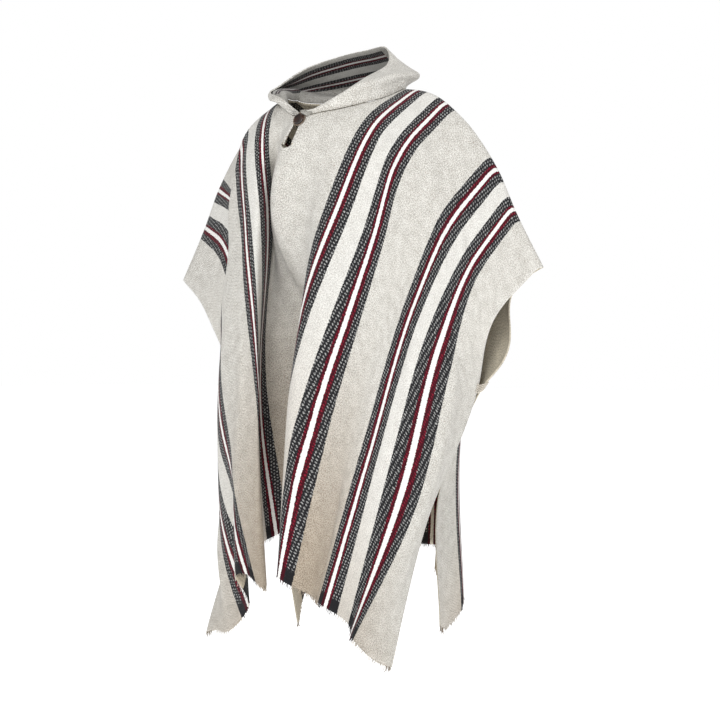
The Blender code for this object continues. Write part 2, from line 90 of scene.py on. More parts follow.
# The front's folds, from the wearer's right selvedge to the left one. Columns: u at the chest, thigh and hem,
# the share of the cloth's length that shows, the rest being small ripples, then the plan place (across,
# forward) at the chest, waist, thigh and hem.
FRONT_FOLDS = (
    ("right selvedge", (-0.529, -0.529, -0.529), 0.8,
     (-0.292, 0.030), (-0.255, 0.003), (-0.230, 0.020), (-0.222, 0.112)),
    ("right margin", (-0.450, -0.483, -0.505), 0.81,
     (-0.250, 0.038), (-0.237, 0.026), (-0.232, 0.042), (-0.202, 0.108)),
    ("right tail tuck", (-0.360, -0.434, -0.485), 0.83,
     (-0.205, 0.050), (-0.207, 0.060), (-0.226, 0.070), (-0.184, 0.107)),
    ("right outer crest", (-0.240, -0.362, -0.445), 0.85,
     (-0.165, 0.096), (-0.166, 0.118), (-0.196, 0.105), (-0.148, 0.108)),
    ("right skirt tuck", (-0.218, -0.333, -0.412), 0.86,
     (-0.154, 0.101), (-0.150, 0.125), (-0.164, 0.123), (-0.117, 0.122)),
    ("right skirt crest", (-0.195, -0.304, -0.378), 0.86,
     (-0.139, 0.105), (-0.126, 0.134), (-0.133, 0.140), (-0.109, 0.168)),
    ("right hollow", (-0.168, -0.262, -0.348), 0.88,
     (-0.120, 0.109), (-0.108, 0.139), (-0.096, 0.150), (-0.078, 0.172)),
    ("right main crest", (-0.140, -0.222, -0.315), 0.92,
     (-0.095, 0.112), (-0.083, 0.143), (-0.067, 0.160), (-0.051, 0.170)),
    ("right tuck", (-0.085, -0.118, -0.170), 0.97,
     (-0.060, 0.112), (-0.102, 0.066), (-0.118, 0.080), (-0.122, 0.078)),
    ("valley floor", (0.000, -0.010, -0.020), 0.95,
     (-0.004, 0.119), (-0.058, 0.134), (-0.020, 0.052), (0.000, 0.034)),
    ("left tuck", (0.040, 0.076, 0.110), 0.96,
     (0.034, 0.117), (0.012, 0.138), (0.036, 0.124), (0.046, 0.130)),
    ("left main crest", (0.088, 0.157, 0.203), 0.965,
     (0.078, 0.113), (0.060, 0.153), (0.038, 0.204), (0.033, 0.232)),
    ("left front", (0.215, 0.236, 0.250), 0.95,
     (0.172, 0.090), (0.160, 0.137), (0.118, 0.190), (0.070, 0.206)),
    ("left outer crest", (0.340, 0.340, 0.340), 0.88,
     (0.245, 0.072), (0.207, 0.113), (0.168, 0.178), (0.112, 0.224)),
    ("left step", (0.400, 0.400, 0.400), 0.84,
     (0.270, 0.058), (0.235, 0.103), (0.192, 0.149), (0.148, 0.200)),
    ("left margin crest", (0.440, 0.434, 0.430), 0.83,
     (0.284, 0.048), (0.252, 0.070), (0.219, 0.120), (0.163, 0.216)),
    ("left selvedge", (0.529, 0.529, 0.529), 0.825,
     (0.303, 0.030), (0.254, 0.003), (0.210, 0.080), (0.226, 0.198)),
)

# The back's folds, in the same columns, with the plan place as (across, backward).
BACK_FOLDS = (
    ("right selvedge", (-0.529, -0.529, -0.529), 0.79,
     (-0.292, 0.030), (-0.255, 0.006), (-0.200, 0.045), (-0.160, 0.060)),
    ("right side crest", (-0.420, -0.423, -0.425), 0.82,
     (-0.272, 0.058), (-0.236, 0.082), (-0.226, 0.116), (-0.212, 0.140)),
    ("right side hollow", (-0.310, -0.310, -0.310), 0.88,
     (-0.226, 0.080), (-0.182, 0.108), (-0.150, 0.112), (-0.136, 0.112)),
    ("right crest", (-0.200, -0.203, -0.205), 0.95,
     (-0.172, 0.100), (-0.148, 0.146), (-0.134, 0.188), (-0.128, 0.212)),
    ("right hollow", (-0.095, -0.098, -0.100), 0.97,
     (-0.085, 0.110), (-0.078, 0.136), (-0.074, 0.150), (-0.074, 0.152)),
    ("middle crest", (0.000, -0.006, -0.010), 0.97,
     (0.000, 0.113), (-0.008, 0.154), (-0.020, 0.194), (-0.028, 0.214)),
    ("left hollow", (0.095, 0.092, 0.090), 0.97,
     (0.085, 0.110), (0.062, 0.136), (0.036, 0.150), (0.022, 0.150)),
    ("left crest", (0.200, 0.200, 0.200), 0.95,
     (0.172, 0.098), (0.134, 0.142), (0.092, 0.184), (0.070, 0.204)),
    ("left side hollow", (0.310, 0.310, 0.310), 0.88,
     (0.222, 0.078), (0.166, 0.102), (0.118, 0.112), (0.098, 0.112)),
    ("left side crest", (0.395, 0.393, 0.392), 0.81,
     (0.264, 0.054), (0.208, 0.066), (0.160, 0.090), (0.160, 0.100)),
    ("left selvedge", (0.529, 0.529, 0.529), 0.76,
     (0.288, 0.030), (0.254, 0.006), (0.152, 0.040), (0.148, 0.050)),
)

# Where the back's edge is pushed out of its glide. Columns: u, t, how far it reaches across and down, the push
# aside and outward, and how much more of the cloth's length shows there.
BACK_PUSHES = (
    ("left armhole lip", 0.529, 0.245, 0.070, 0.070, 0.024, 0.010, 0.42),
)

# The hood, by the angle round the neck from the button. Columns: the rim's place and the belly's place.
HOOD_STATIONS = (
    ("left lapel end", 2.9, (0.004, -0.126, -0.029), (0.007, -0.127, -0.031)),
    ("left lapel", 40.0, (0.048, -0.097, 0.000), (0.074, -0.098, 0.008)),
    ("left side", 75.0, (0.052, -0.030, 0.036), (0.104, -0.034, 0.034)),
    ("left back", 110.0, (0.054, 0.030, 0.066), (0.106, 0.040, 0.046)),
    ("peak", 150.0, (0.016, 0.076, 0.106), (0.053, 0.105, 0.049)),
    ("back", 180.0, (-0.030, 0.086, 0.106), (-0.002, 0.138, 0.036)),
    ("right back", 215.0, (-0.070, 0.066, 0.097), (-0.066, 0.122, 0.036)),
    ("right shoulder", 250.0, (-0.101, 0.012, 0.073), (-0.118, 0.052, 0.040)),
    ("right side", 290.0, (-0.116, -0.046, 0.036), (-0.132, -0.032, 0.034)),
    ("right curl", 320.0, (-0.108, -0.078, 0.020), (-0.108, -0.080, 0.012)),
    ("right lapel", 345.0, (-0.044, -0.120, -0.002), (-0.048, -0.122, -0.008)),
    ("right lapel end", 357.1, (-0.009, -0.125, -0.026), (-0.012, -0.126, -0.029)),
)


def hermite(knots, values, at):
    """A smooth curve through values at the knots (last axis), read at `at`, with slopes from the neighbours."""
    knots = np.broadcast_to(knots, at.shape[:-1] + knots.shape[-1:])
    values = np.broadcast_to(values, at.shape[:-1] + values.shape[-1:])
    gaps = np.diff(knots, axis=-1)
    slopes = np.diff(values, axis=-1) / gaps
    before, after = gaps[..., :-1], gaps[..., 1:]
    inner = (slopes[..., :-1] * after + slopes[..., 1:] * before) / (before + after)
    tangents = np.concatenate([slopes[..., :1], inner, slopes[..., -1:]], axis=-1)
    cell = (knots[..., :, None] <= at[..., None, :]).sum(axis=-2) - 1
    cell = np.clip(cell, 0, knots.shape[-1] - 2)

    def pick(table, offset=0):
        return np.take_along_axis(table, cell + offset, axis=-1)

    span = pick(gaps)
    s = np.clip((at - pick(knots)) / span, 0.0, 1.0)
    return (
        pick(values) * (1 + 2 * s) * (1 - s) ** 2
        + pick(tangents) * span * s * (1 - s) ** 2
        + pick(values, 1) * s * s * (3 - 2 * s)
        + pick(tangents, 1) * span * s * s * (s - 1)
    )


def shoulder_line(u):
    """Across and height of the fold over the shoulders, the same on both sides of the neck."""
    table = np.array([row[1:] for row in SHOULDER_ROWS])
    knots = np.concatenate([-table[:0:-1, 0], table[:, 0]])
    across = np.concatenate([-table[:0:-1, 1], table[:, 1]])
    height = np.concatenate([table[:0:-1, 2], table[:, 2]])
    return hermite(knots, across, u), hermite(knots, height, u)


def fold_lines(folds, t):
    """Where each fold's row lies across the cloth at t: its chest place, then sliding by thigh to hem."""
    u_chest, u_thigh, u_hem = np.array([row[1] for row in folds]).T
    upper = np.clip((t - CHEST_T) / (THIGH_T - CHEST_T), 0.0, 1.0)[..., None]
    lower = np.clip((t - THIGH_T) / (1.0 - THIGH_T), 0.0, 1.0)[..., None]
    return u_chest + upper * (u_thigh - u_chest) + lower * (u_hem - u_thigh)


def draped(folds, facing, pushes=()):
    """The outer face of one half of the cloth, as points on a fine grid of t by u.

    Down each warp line the plan place glides from the shoulder fold through the chest, waist, thigh and hem,
    and at every level the folds' rows are joined by a smooth curve across u. The height then falls by what
    each short piece of warp has left after its plan move, so the cloth keeps its length.
    """
    u = np.linspace(-HALF_WIDTH, HALF_WIDTH, DRAPE_COLUMNS)
    t = np.linspace(0.0, 1.0, DRAPE_ROWS)
    levels = np.array([0.0, CHEST_T, WAIST_T, THIGH_T, 1.0])
    places = np.array([((0.0, 0.0), *row[3:7]) for row in folds])
    inward = places[..., 0] - shoulder_line(fold_lines(folds, levels).T)[0]
    inward[:, 0] = 0.0
    inward = hermite(levels, inward, np.broadcast_to(t, (len(folds), t.size))).T
    out = hermite(levels, places[..., 1], np.broadcast_to(t, (len(folds), t.size))).T
    lines = fold_lines(folds, t)
    wide = np.broadcast_to(u, (t.size, u.size))
    ridge_x, ridge_z = shoulder_line(u)
    across = ridge_x + hermite(lines, inward, wide)
    out = hermite(lines, out, wide)
    run = t[:, None] * FOLD_TO_HEM
    steepness = ROUND_SPEED - hermite(lines[0], places[:, 1, 1], u) / (CHEST_T * FOLD_TO_HEM)
    out = out + steepness * run * np.exp(-run / FOLD_ROUNDING)
    shown = np.broadcast_to(hermite(lines[-1], np.array([row[2] for row in folds]), u), wide.shape)
    for _, u_at, t_at, u_reach, t_reach, aside, outward, longer in pushes:
        pushed = np.exp(-((wide - u_at) / u_reach) ** 2 - ((t[:, None] - t_at) / t_reach) ** 2)
        across = across + aside * pushed
        out = out + outward * pushed
        shown = shown * (1.0 + longer * pushed)

    step = FOLD_TO_HEM * t[1] * shown[1:]
    moved = np.hypot(np.diff(across, axis=0), np.diff(out, axis=0))
    fall = np.sqrt(np.maximum(step ** 2 - moved ** 2, (LEAST_FALL * step) ** 2))
    height = ridge_z - np.concatenate([np.zeros((1, u.size)), np.cumsum(fall, axis=0)])
    return np.stack([across, facing * out, height], axis=-1)


FRONT_DRAPE = draped(FRONT_FOLDS, -1.0)
BACK_DRAPE = draped(BACK_FOLDS, 1.0, BACK_PUSHES)


def read_drape(drape, u, t):
    """Points of a drape at any u and t, mixed from the four grid points around each."""
    column = np.clip((u / CUT_WIDTH + 0.5) * (DRAPE_COLUMNS - 1), 0.0, DRAPE_COLUMNS - 1.001)
    row = np.clip(t * (DRAPE_ROWS - 1), 0.0, DRAPE_ROWS - 1.001)
    i, j = row.astype(int), column.astype(int)
    a, b = (row - i)[..., None], (column - j)[..., None]
    upper = drape[i, j] * (1 - b) + drape[i, j + 1] * b
    lower = drape[i + 1, j] * (1 - b) + drape[i + 1, j + 1] * b
    return upper * (1 - a) + lower * a


def front_at(u, t):
    """Points on the outer face of the front."""
    return read_drape(FRONT_DRAPE, *np.broadcast_arrays(u, t))


def back_at(u, t):
    """Points on the outer face of the back."""
    return read_drape(BACK_DRAPE, *np.broadcast_arrays(u, t))


def neck_start(u, drop):
    """How far down the cloth begins at u, as a share of its length: an oval hole, or the fold beside it."""
    oval = np.sqrt(np.clip(1.0 - (u / NECK_HALF_WIDTH) ** 2, 0.0, None))
    return (drop * oval + FOLD_CLEAR) / FOLD_TO_HEM


def front_start(u):
    """The front's upper edge: the oval neck hole, with the buttonhole slit cut down from its middle."""
    inside = np.clip(1.0 - (u / SLIT_HALF_WIDTH) ** 2, 0.0, None)
    slit = (SLIT_END - SLIT_HALF_WIDTH + SLIT_HALF_WIDTH * np.sqrt(inside)) / FOLD_TO_HEM
    return np.where(np.abs(u) < SLIT_HALF_WIDTH, slit, neck_start(u, NECK_FRONT_DROP))


def back_start(u):
    """The back's upper edge: the shallow half of the neck hole."""
    return neck_start(u, NECK_BACK_DROP)


def neck_seam(angle):
    """The neck hole's edge by its angle from the button: point, the cloth's normal, the way into the hole."""
    u = NECK_HALF_WIDTH * np.sin(angle)
    in_front = np.cos(angle) >= 0.0
    drop = np.where(in_front, NECK_FRONT_DROP, NECK_BACK_DROP)
    t = (drop * np.abs(np.cos(angle)) + FOLD_CLEAR) / FOLD_TO_HEM

    def on_cloth(u_at, t_at):
        return np.where(in_front[:, None], front_at(u_at, t_at), back_at(u_at, t_at))

    point = on_cloth(u, t)
    down = on_cloth(u, t + SEAM_PROBE / FOLD_TO_HEM) - point
    side = on_cloth(u + SEAM_PROBE, t) - point
    normal = np.cross(side, down)
    normal *= np.sign(normal[:, 2:])
    normal /= np.linalg.norm(normal, axis=-1, keepdims=True)
    inside = np.array([0.0, NECK_MIDDLE, 0.0]) - point * [1.0, 1.0, 0.0]
    inside -= normal * (inside * normal).sum(axis=-1, keepdims=True)
    inside /= np.linalg.norm(inside, axis=-1, keepdims=True)
    return point, normal, inside


def hood_at(angle, rise):
    """The hood's outer face: round the neck by angle, and from the neck seam at 0 to the rim at 1."""
    stations = np.array([row[1] for row in HOOD_STATIONS])
    degrees = np.broadcast_to(np.degrees(angle), (3, angle.size))
    rim = hermite(stations, np.array([row[2] for row in HOOD_STATIONS]).T, degrees).T
    belly = hermite(stations, np.array([row[3] for row in HOOD_STATIONS]).T, degrees).T
    point, normal, inside = neck_seam(angle)
    foot = point + 2 * SEAM_GAP * (normal + inside)
    stand = foot + HOOD_STAND * normal
    stack = np.stack([foot, stand, belly, rim], axis=-1)
    lifted = hermite(HOOD_RISES, stack, np.broadcast_to(rise, (angle.size, 3, rise.size)))
    return np.transpose(lifted, (2, 0, 1))


def button_frame():
    """The button's seat on the front: its middle, and the cloth's normal and two ways along it."""
    t = (BUTTON_DROP + np.array([-1.0, 0.0, 1.0]) * BUTTON_RADIUS) / FOLD_TO_HEM
    above, middle, below = front_at(np.full(3, BUTTON_U), t)
    down = below - above
    down /= np.linalg.norm(down)
    side = np.array([1.0, 0.0, 0.0])
    side -= down * side.dot(down)
    side /= np.linalg.norm(side)
    return middle, np.cross(down, side), side, down


def sliding(folds, u, t):
    """Columns that start at u and follow the folds down, so that a crest stays on its own columns."""
    start, now = fold_lines(folds, np.zeros(1))[0], fold_lines(folds, t)
    cell = np.clip(np.searchsorted(start, u, side="right") - 1, 0, start.size - 2)
    cell = np.broadcast_to(cell, t.shape)
    part = (u - start[cell]) / (start[cell + 1] - start[cell])
    low, high = (np.take_along_axis(now, (cell + k)[..., None], axis=-1)[..., 0] for k in (0, 1))
    return low + part * (high - low)


def unit(vectors):
    """Vectors brought to length 1; one of no length stays as it is."""
    return vectors / np.maximum(np.linalg.norm(vectors, axis=-1, keepdims=True), 1e-12)


def outward_normals(points):
    """Unit normals of a grid of points: the cross product of its slopes down the rows and along them."""
    return unit(np.cross(np.gradient(points, axis=0), np.gradient(points, axis=1)))


def smooth_step(low, high, x):
    """0 below low, 1 above high, and 3s^2 - 2s^3 between them."""
    s = np.clip((x - low) / (high - low), 0.0, 1.0)
    return s * s * (3.0 - 2.0 * s)


def creased(u, t, creases):
    """How far soft creases lift the cloth: each is a bell across a line from one place to another.

    The line swings to and fro a little, the bell's width and height vary along it, and both ends fade.
    """
    x, y = u, t * FOLD_TO_HEM
    lift = np.zeros_like(x)
    for k, (u0, t0, u1, t1, reach, height) in enumerate(creases):
        start = np.array([u0, t0 * FOLD_TO_HEM])
        way = np.array([u1, t1 * FOLD_TO_HEM]) - start
        length = np.hypot(*way)
        way = way / length
        along = ((x - start[0]) * way[0] + (y - start[1]) * way[1]) / length
        aside = (x - start[0]) * way[1] - (y - start[1]) * way[0]
        aside = aside + 0.35 * reach * np.sin(7.0 * along + 1.7 * k)
        width = reach * (1.0 + 0.25 * np.sin(4.0 * along + k))
        fade = smooth_step(0.0, 0.3, along) * smooth_step(1.0, 0.65, along)
        lift += height * fade * (1.0 + 0.2 * np.sin(9.0 * along + 2.3 * k)) * np.exp(-((aside / width) ** 2))
    return lift


def grid_faces(ids):
    """Four-cornered faces of a grid of vertex numbers."""
    corners = (ids[:-1, :-1], ids[1:, :-1], ids[1:, 1:], ids[:-1, 1:])
    return np.stack(corners, axis=-1).reshape(-1, 4)


def piece(name, points, faces, places, node, material):
    """A named mesh that rides on the part. places are the flat places on the cloth, one for each corner."""
    used, faces_used = np.unique(faces, return_inverse=True)
    faces_used = faces_used.reshape(faces.shape)
    mesh = bpy.data.meshes.new(name)
    mesh.from_pydata(points.reshape(-1, 3)[used].tolist(), [], faces_used.tolist())
    mesh.shade_smooth()
    if places is not None:
        layer = mesh.uv_layers.new(name="cloth")
        layer.data.foreach_set("uv", places.astype(np.float32).ravel())
    mesh.validate()
    mesh.materials.append(material)
    made = bpy.data.objects.new(name, mesh)
    bpy.context.scene.collection.objects.link(made)
    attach(made, "root")
    if node:
        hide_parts(*node)
    return made


def thicken(made, thickness, shaded_copy, rim=0):
    """Gives a shell its thickness inwards, so that its outer face stays put, and gives its inner face a darker copy
    of the wool, painted shade.

    With rim at 1 the cut edge has that painted shade copy too, and at 0 the outer face's wool.
    """
    made.data.materials.append(shaded_copy)
    solid = made.modifiers.new("thickness", "SOLIDIFY")
    solid.thickness = thickness
    solid.offset = -1.0
    solid.material_offset = 1
    solid.material_offset_rim = rim
    return made


def tubes(paths, radii, sides):
    """Tubes along several paths at once: rings of points round each path, and their faces, both ends closed.

    A ring lies in the plane across the path, turned about it from one steady direction.
    """
    count, rings = paths.shape[:2]
    way = unit(np.gradient(paths, axis=1))
    steady = np.where(np.abs(way[..., 2:]) < 0.8, [0.0, 0.0, 1.0], [1.0, 0.0, 0.0])
    side = unit(np.cross(way, steady))
    other = np.cross(way, side)
    turn = np.linspace(0.0, 2.0 * np.pi, sides, endpoint=False)[:, None]
    ring = np.cos(turn) * side[:, :, None] + np.sin(turn) * other[:, :, None]
    points = paths[:, :, None] + ring * np.broadcast_to(radii, (count, rings))[..., None, None]
    ids = np.arange(count * rings * sides).reshape(count, rings, sides)
    around = np.roll(ids, -1, axis=2)
    faces = np.stack([ids[:, :-1], around[:, :-1], around[:, 1:], ids[:, 1:]], axis=-1).reshape(-1, 4)
    if sides == 4:
        faces = np.concatenate([faces, ids[:, 0, ::-1], ids[:, -1]])
    return points, faces


# Materials.

class Tree:
    """Short ways to add and join shader nodes."""

    def __init__(self, tree):
        self.tree = tree

    def add(self, kind, **settings):
        node = self.tree.nodes.new("ShaderNode" + kind)
        for name, value in settings.items():
            setattr(node, name, value)
        return node

    def put(self, socket, value):
        if isinstance(value, bpy.types.NodeSocket):
            self.tree.links.new(value, socket)
        else:
            socket.default_value = value

    def sum(self, operation, *values):
        node = self.add("Math", operation=operation)
        for socket, value in zip(node.inputs, values):
            self.put(socket, value)
        return node.outputs[0]

    def mix(self, share, first, second):
        node = self.add("Mix", data_type="RGBA")
        for socket, value in zip((node.inputs[0], node.inputs[6], node.inputs[7]), (share, first, second)):
            self.put(socket, (*value, 1.0) if isinstance(value, tuple) else value)
        return node.outputs[2]

    def tinted(self, colour, tint):
        """The colour times the tint."""
        node = self.add("Mix", data_type="RGBA", blend_type="MULTIPLY")
        for socket, value in zip((node.inputs[0], node.inputs[6], node.inputs[7]), (1.0, colour, tint)):
            self.put(socket, value)
        return node.outputs[2]

    def noise(self, place, scale, detail=2.0):
        node = self.add("TexNoise")
        self.put(node.inputs["Vector"], place)
        self.put(node.inputs["Scale"], scale)
        self.put(node.inputs["Detail"], detail)
        return node.outputs["Fac"]

    def between(self, value, low, high):
        node = self.add("MapRange", interpolation_type="SMOOTHSTEP")
        for socket, given in zip(node.inputs, (value, low, high)):
            self.put(socket, given)
        return node.outputs[0]


def group(name, inputs, outputs, make):
    """A shader node group with named sockets: make gets the tree and its inputs, and returns its outputs."""
    made = bpy.data.node_groups.new(name, "ShaderNodeTree")
    for socket, kind in inputs:
        made.interface.new_socket(socket, in_out="INPUT", socket_type=kind)
    for socket in outputs:
        made.interface.new_socket(socket, in_out="OUTPUT", socket_type="NodeSocketFloat")
    tree = Tree(made)
    given = made.nodes.new("NodeGroupInput")
    result = made.nodes.new("NodeGroupOutput")
    for socket, value in zip(result.inputs, make(tree, *[given.outputs[s] for s, _ in inputs])):
        tree.put(socket, value)
    return made


# The striping, outwards from the cloth's middle. Each band is dark, red, white, red, dark; between a pair of
# bands the yarn is ivory, and elsewhere the plain natural wool.
BAND_STARTS = (0.115, 0.184, 0.325, 0.394)
BAND_YARNS = ((0.0, "dark"), (0.0133, "red"), (0.0183, "white"), (0.0247, "red"), (0.0297, "dark"))
BAND_WIDTH = 0.043
AFTER_BANDS = ("ivory", "plain", "ivory", "plain")
SELVEDGE_START = 0.525
YARN_MASKS = {
    "plain": (0.0, 0.0, 0.0, 1.0),
    "dark": (1.0, 0.0, 0.0, 1.0),
    "red": (0.0, 1.0, 0.0, 1.0),
    "white": (0.0, 0.0, 1.0, 1.0),
    "ivory": (0.0, 0.0, 0.34, 1.0),
}


def stripe_masks(tree, across):
    """Dark, red and pale masks by distance from the cloth's middle, from one stepped ramp."""
    stops = [(0.0, "plain")]
    for start, after in zip(BAND_STARTS, AFTER_BANDS):
        stops += [(start + offset, yarn) for offset, yarn in BAND_YARNS] + [(start + BAND_WIDTH, after)]
    stops.append((SELVEDGE_START, "ivory"))
    ramp = tree.add("ValToRGB")
    ramp.color_ramp.interpolation = "CONSTANT"
    points = ramp.color_ramp.elements
    while len(points) < len(stops):
        points.new(1.0)
    for point, (place, yarn) in zip(points, stops):
        point.position = place / HALF_WIDTH
        point.color = YARN_MASKS[yarn]
    tree.put(ramp.inputs["Fac"], tree.sum("DIVIDE", across, HALF_WIDTH))
    parts = tree.add("SeparateColor")
    tree.put(parts.inputs["Color"], ramp.outputs["Color"])
    return list(parts.outputs)


RIB = 0.0062
DASH = 0.0094


def weave(tree, place):
    """Twill in the cloth's own place: slanted ribs, brick-set dashes on them, flecks, mottling and height."""
    axes = tree.add("SeparateXYZ")
    tree.put(axes.inputs[0], place)
    wander = tree.sum("MULTIPLY", tree.noise(place, 130.0), 0.0044)
    x = tree.sum("ADD", axes.outputs["X"], wander)
    y = tree.sum("ADD", axes.outputs["Y"], wander)
    rib = tree.sum("DIVIDE", tree.sum("ADD", x, y), RIB)
    wave = tree.sum("SINE", tree.sum("MULTIPLY", rib, 2.0 * np.pi))
    brick = tree.sum("MULTIPLY", tree.sum("FLOOR", rib), 0.5)
    dash = tree.sum("ADD", tree.sum("DIVIDE", tree.sum("SUBTRACT", x, y), DASH), brick)
    dash = tree.sum("SINE", tree.sum("MULTIPLY", dash, 2.0 * np.pi))
    grain = tree.noise(place, 560.0, 4.0)
    dashes = tree.sum("MULTIPLY", tree.between(wave, -0.35, 0.35), tree.between(dash, -0.3, 0.5))
    dashes = tree.sum("MULTIPLY", dashes, tree.between(grain, 0.30, 0.62))
    flecks = tree.between(tree.noise(place, 430.0, 1.0), 0.655, 0.72)
    cloudy = tree.sum("MULTIPLY", tree.noise(place, 55.0), 0.15)
    mottle = tree.sum("ADD", cloudy, tree.sum("MULTIPLY", grain, 0.85))
    height = tree.sum("ADD", tree.sum("MULTIPLY", wave, 0.35), grain)
    return dashes, flecks, mottle, height


PLACE = (("Place", "NodeSocketVector"),)
stripe_group = group("wool stripes", (("Across", "NodeSocketFloat"),), ("Dark", "Red", "Pale"), stripe_masks)
weave_group = group("wool weave", PLACE, ("Dashes", "Flecks", "Mottle", "Height"), weave)


def new_material(name, roughness):
    """A material with its tree and shader."""
    made = bpy.data.materials.new(name)
    made.use_nodes = True
    shader = made.node_tree.nodes["Principled BSDF"]
    shader.inputs["Roughness"].default_value = roughness
    return made, Tree(made.node_tree), shader


def soft_bump(tree, shader, height, distance, strength):
    bump = tree.add("Bump")
    bump.inputs["Distance"].default_value = distance
    bump.inputs["Strength"].default_value = strength
    tree.put(bump.inputs["Height"], height)
    tree.put(shader.inputs["Normal"], bump.outputs["Normal"])


WOOL_DULL = (0.36, 0.340, 0.305)
WOOL_BRIGHT = (0.77, 0.755, 0.71)
# The next colour is painted shade: the tint that darkens the body cloth towards its hems and middle.
PAINTED_LOW_SHADE = (0.64, 0.555, 0.47)
WOOL_PALE = (0.80, 0.795, 0.77)
WOOL_FLECK = (0.26, 0.17, 0.11)
CHARCOAL = (0.014, 0.014, 0.016)
CHARCOAL_DASH = (0.42, 0.42, 0.41)
CRIMSON = (0.050, 0.003, 0.008)
CRIMSON_DASH = (0.27, 0.012, 0.032)


def striped_wool(name, hem_solid_and_low_shade, shade=(1.0, 1.0, 1.0)):
    """Brushed twill wool, striped by its own place; the dark yarn is solid near the hems. Given a hem width,
    painted shade darkens the cloth towards the hems and the middle; the shade tint darkens it all as painted shade.
    """
    made, tree, shader = new_material(name, 0.92)
    shader.inputs["Sheen Weight"].default_value = 0.10
    shader.inputs["Sheen Roughness"].default_value = 0.5
    shader.inputs["Specular IOR Level"].default_value = 0.15
    place = tree.add("UVMap", uv_map="cloth").outputs["UV"]
    axes = tree.add("SeparateXYZ")
    tree.put(axes.inputs[0], place)
    shake = tree.sum("MULTIPLY", tree.sum("SUBTRACT", tree.noise(place, 330.0), 0.5), 0.0028)
    across = tree.sum("ABSOLUTE", tree.sum("SUBTRACT", axes.outputs["X"], HALF_WIDTH))
    stripes = tree.add("Group", node_tree=stripe_group)
    tree.put(stripes.inputs["Across"], tree.sum("ADD", across, shake))
    woven = tree.add("Group", node_tree=weave_group)
    tree.put(woven.inputs["Place"], place)
    dark, red, pale = stripes.outputs
    dashes, flecks, mottle, height = woven.outputs
    to_hem = tree.sum("MINIMUM", axes.outputs["Y"], tree.sum("SUBTRACT", 2.0 * FOLD_TO_HEM, axes.outputs["Y"]))
    if hem_solid_and_low_shade:
        dashes = tree.sum("MULTIPLY", dashes, tree.between(to_hem, hem_solid_and_low_shade, hem_solid_and_low_shade + 0.004))
    colour = tree.mix(tree.between(mottle, 0.36, 0.63), WOOL_DULL, WOOL_BRIGHT)
    # Painted shade: darker towards the hem and towards the middle, away from the selvedges.
    if hem_solid_and_low_shade:
        aside = tree.sum("MAXIMUM", tree.sum("SUBTRACT", across, 0.27), 0.0)
        raised = tree.sum("ADD", to_hem, tree.sum("MULTIPLY", aside, 1.3))
        low = tree.mix(tree.between(raised, 0.02, 0.50), PAINTED_LOW_SHADE, (1.0, 1.0, 1.0))
        colour = tree.tinted(colour, low)
    colour = tree.mix(tree.sum("MULTIPLY", flecks, 0.7), colour, WOOL_FLECK)
    colour = tree.mix(pale, colour, WOOL_PALE)
    colour = tree.mix(dark, colour, tree.mix(dashes, CHARCOAL, CHARCOAL_DASH))
    colour = tree.mix(red, colour, tree.mix(dashes, CRIMSON, CRIMSON_DASH))
    if shade != (1.0, 1.0, 1.0):
        colour = tree.tinted(colour, (*shade, 1.0))
    tree.put(shader.inputs["Base Color"], colour)
    soft_bump(tree, shader, height, 0.0010, 0.55)
    return made


def horn():
    """Polished dark horn: brown with slow paler streaks under a clear coat."""
    made, tree, shader = new_material("polished horn", 0.30)
    place = tree.add("TexCoord").outputs["Object"]
    streaks = tree.between(tree.noise(place, 130.0, 4.0), 0.35, 0.75)
    tree.put(shader.inputs["Base Color"], tree.mix(streaks, (0.010, 0.004, 0.0025), (0.050, 0.018, 0.009)))
    shader.inputs["Coat Weight"].default_value = 0.35
    shader.inputs["Coat Roughness"].default_value = 0.08
    return made


def yarn(name, dull, bright):
    """Plied yarn: fine noise from dull to bright, with a fibrous bump."""
    made, tree, shader = new_material(name, 0.9)
    place = tree.add("TexCoord").outputs["Object"]
    fibres = tree.noise(place, 1400.0, 3.0)
    tree.put(shader.inputs["Base Color"], tree.mix(tree.between(fibres, 0.35, 0.65), dull, bright))
    soft_bump(tree, shader, fibres, 0.0004, 0.6)
    return made


body_wool = striped_wool("striped body wool", 0.026)
hood_wool = striped_wool("striped hood wool", 0.0)
# The inner faces' wool: the same stripes tinted darker, painted shade for the garment's shaded inside.
body_inside_shade = striped_wool("body wool painted inside shade", 0.026, (0.86, 0.80, 0.68))
hood_inside_shade = striped_wool("hood wool painted inside shade", 0.0, (0.60, 0.60, 0.60))
horn_finish = horn()
cord_yarn = yarn("loop cord", (0.10, 0.07, 0.05), (0.26, 0.20, 0.15))
tack_yarn = yarn("tack thread", (0.50, 0.45, 0.38), (0.72, 0.67, 0.59))
tuft_yarn = yarn("corner tuft", (0.06, 0.04, 0.025), (0.26, 0.19, 0.12))

# The body cloth.

CLOTH_THICKNESS = 0.0024
BODY_COLUMNS = 163
UPPER_ROWS = 44
LOWER_ROWS = 98
JOIN_T = 0.265
CREASE_START = (0.03, 0.12)
HEM_T = 1.0 - FRINGE / FOLD_TO_HEM

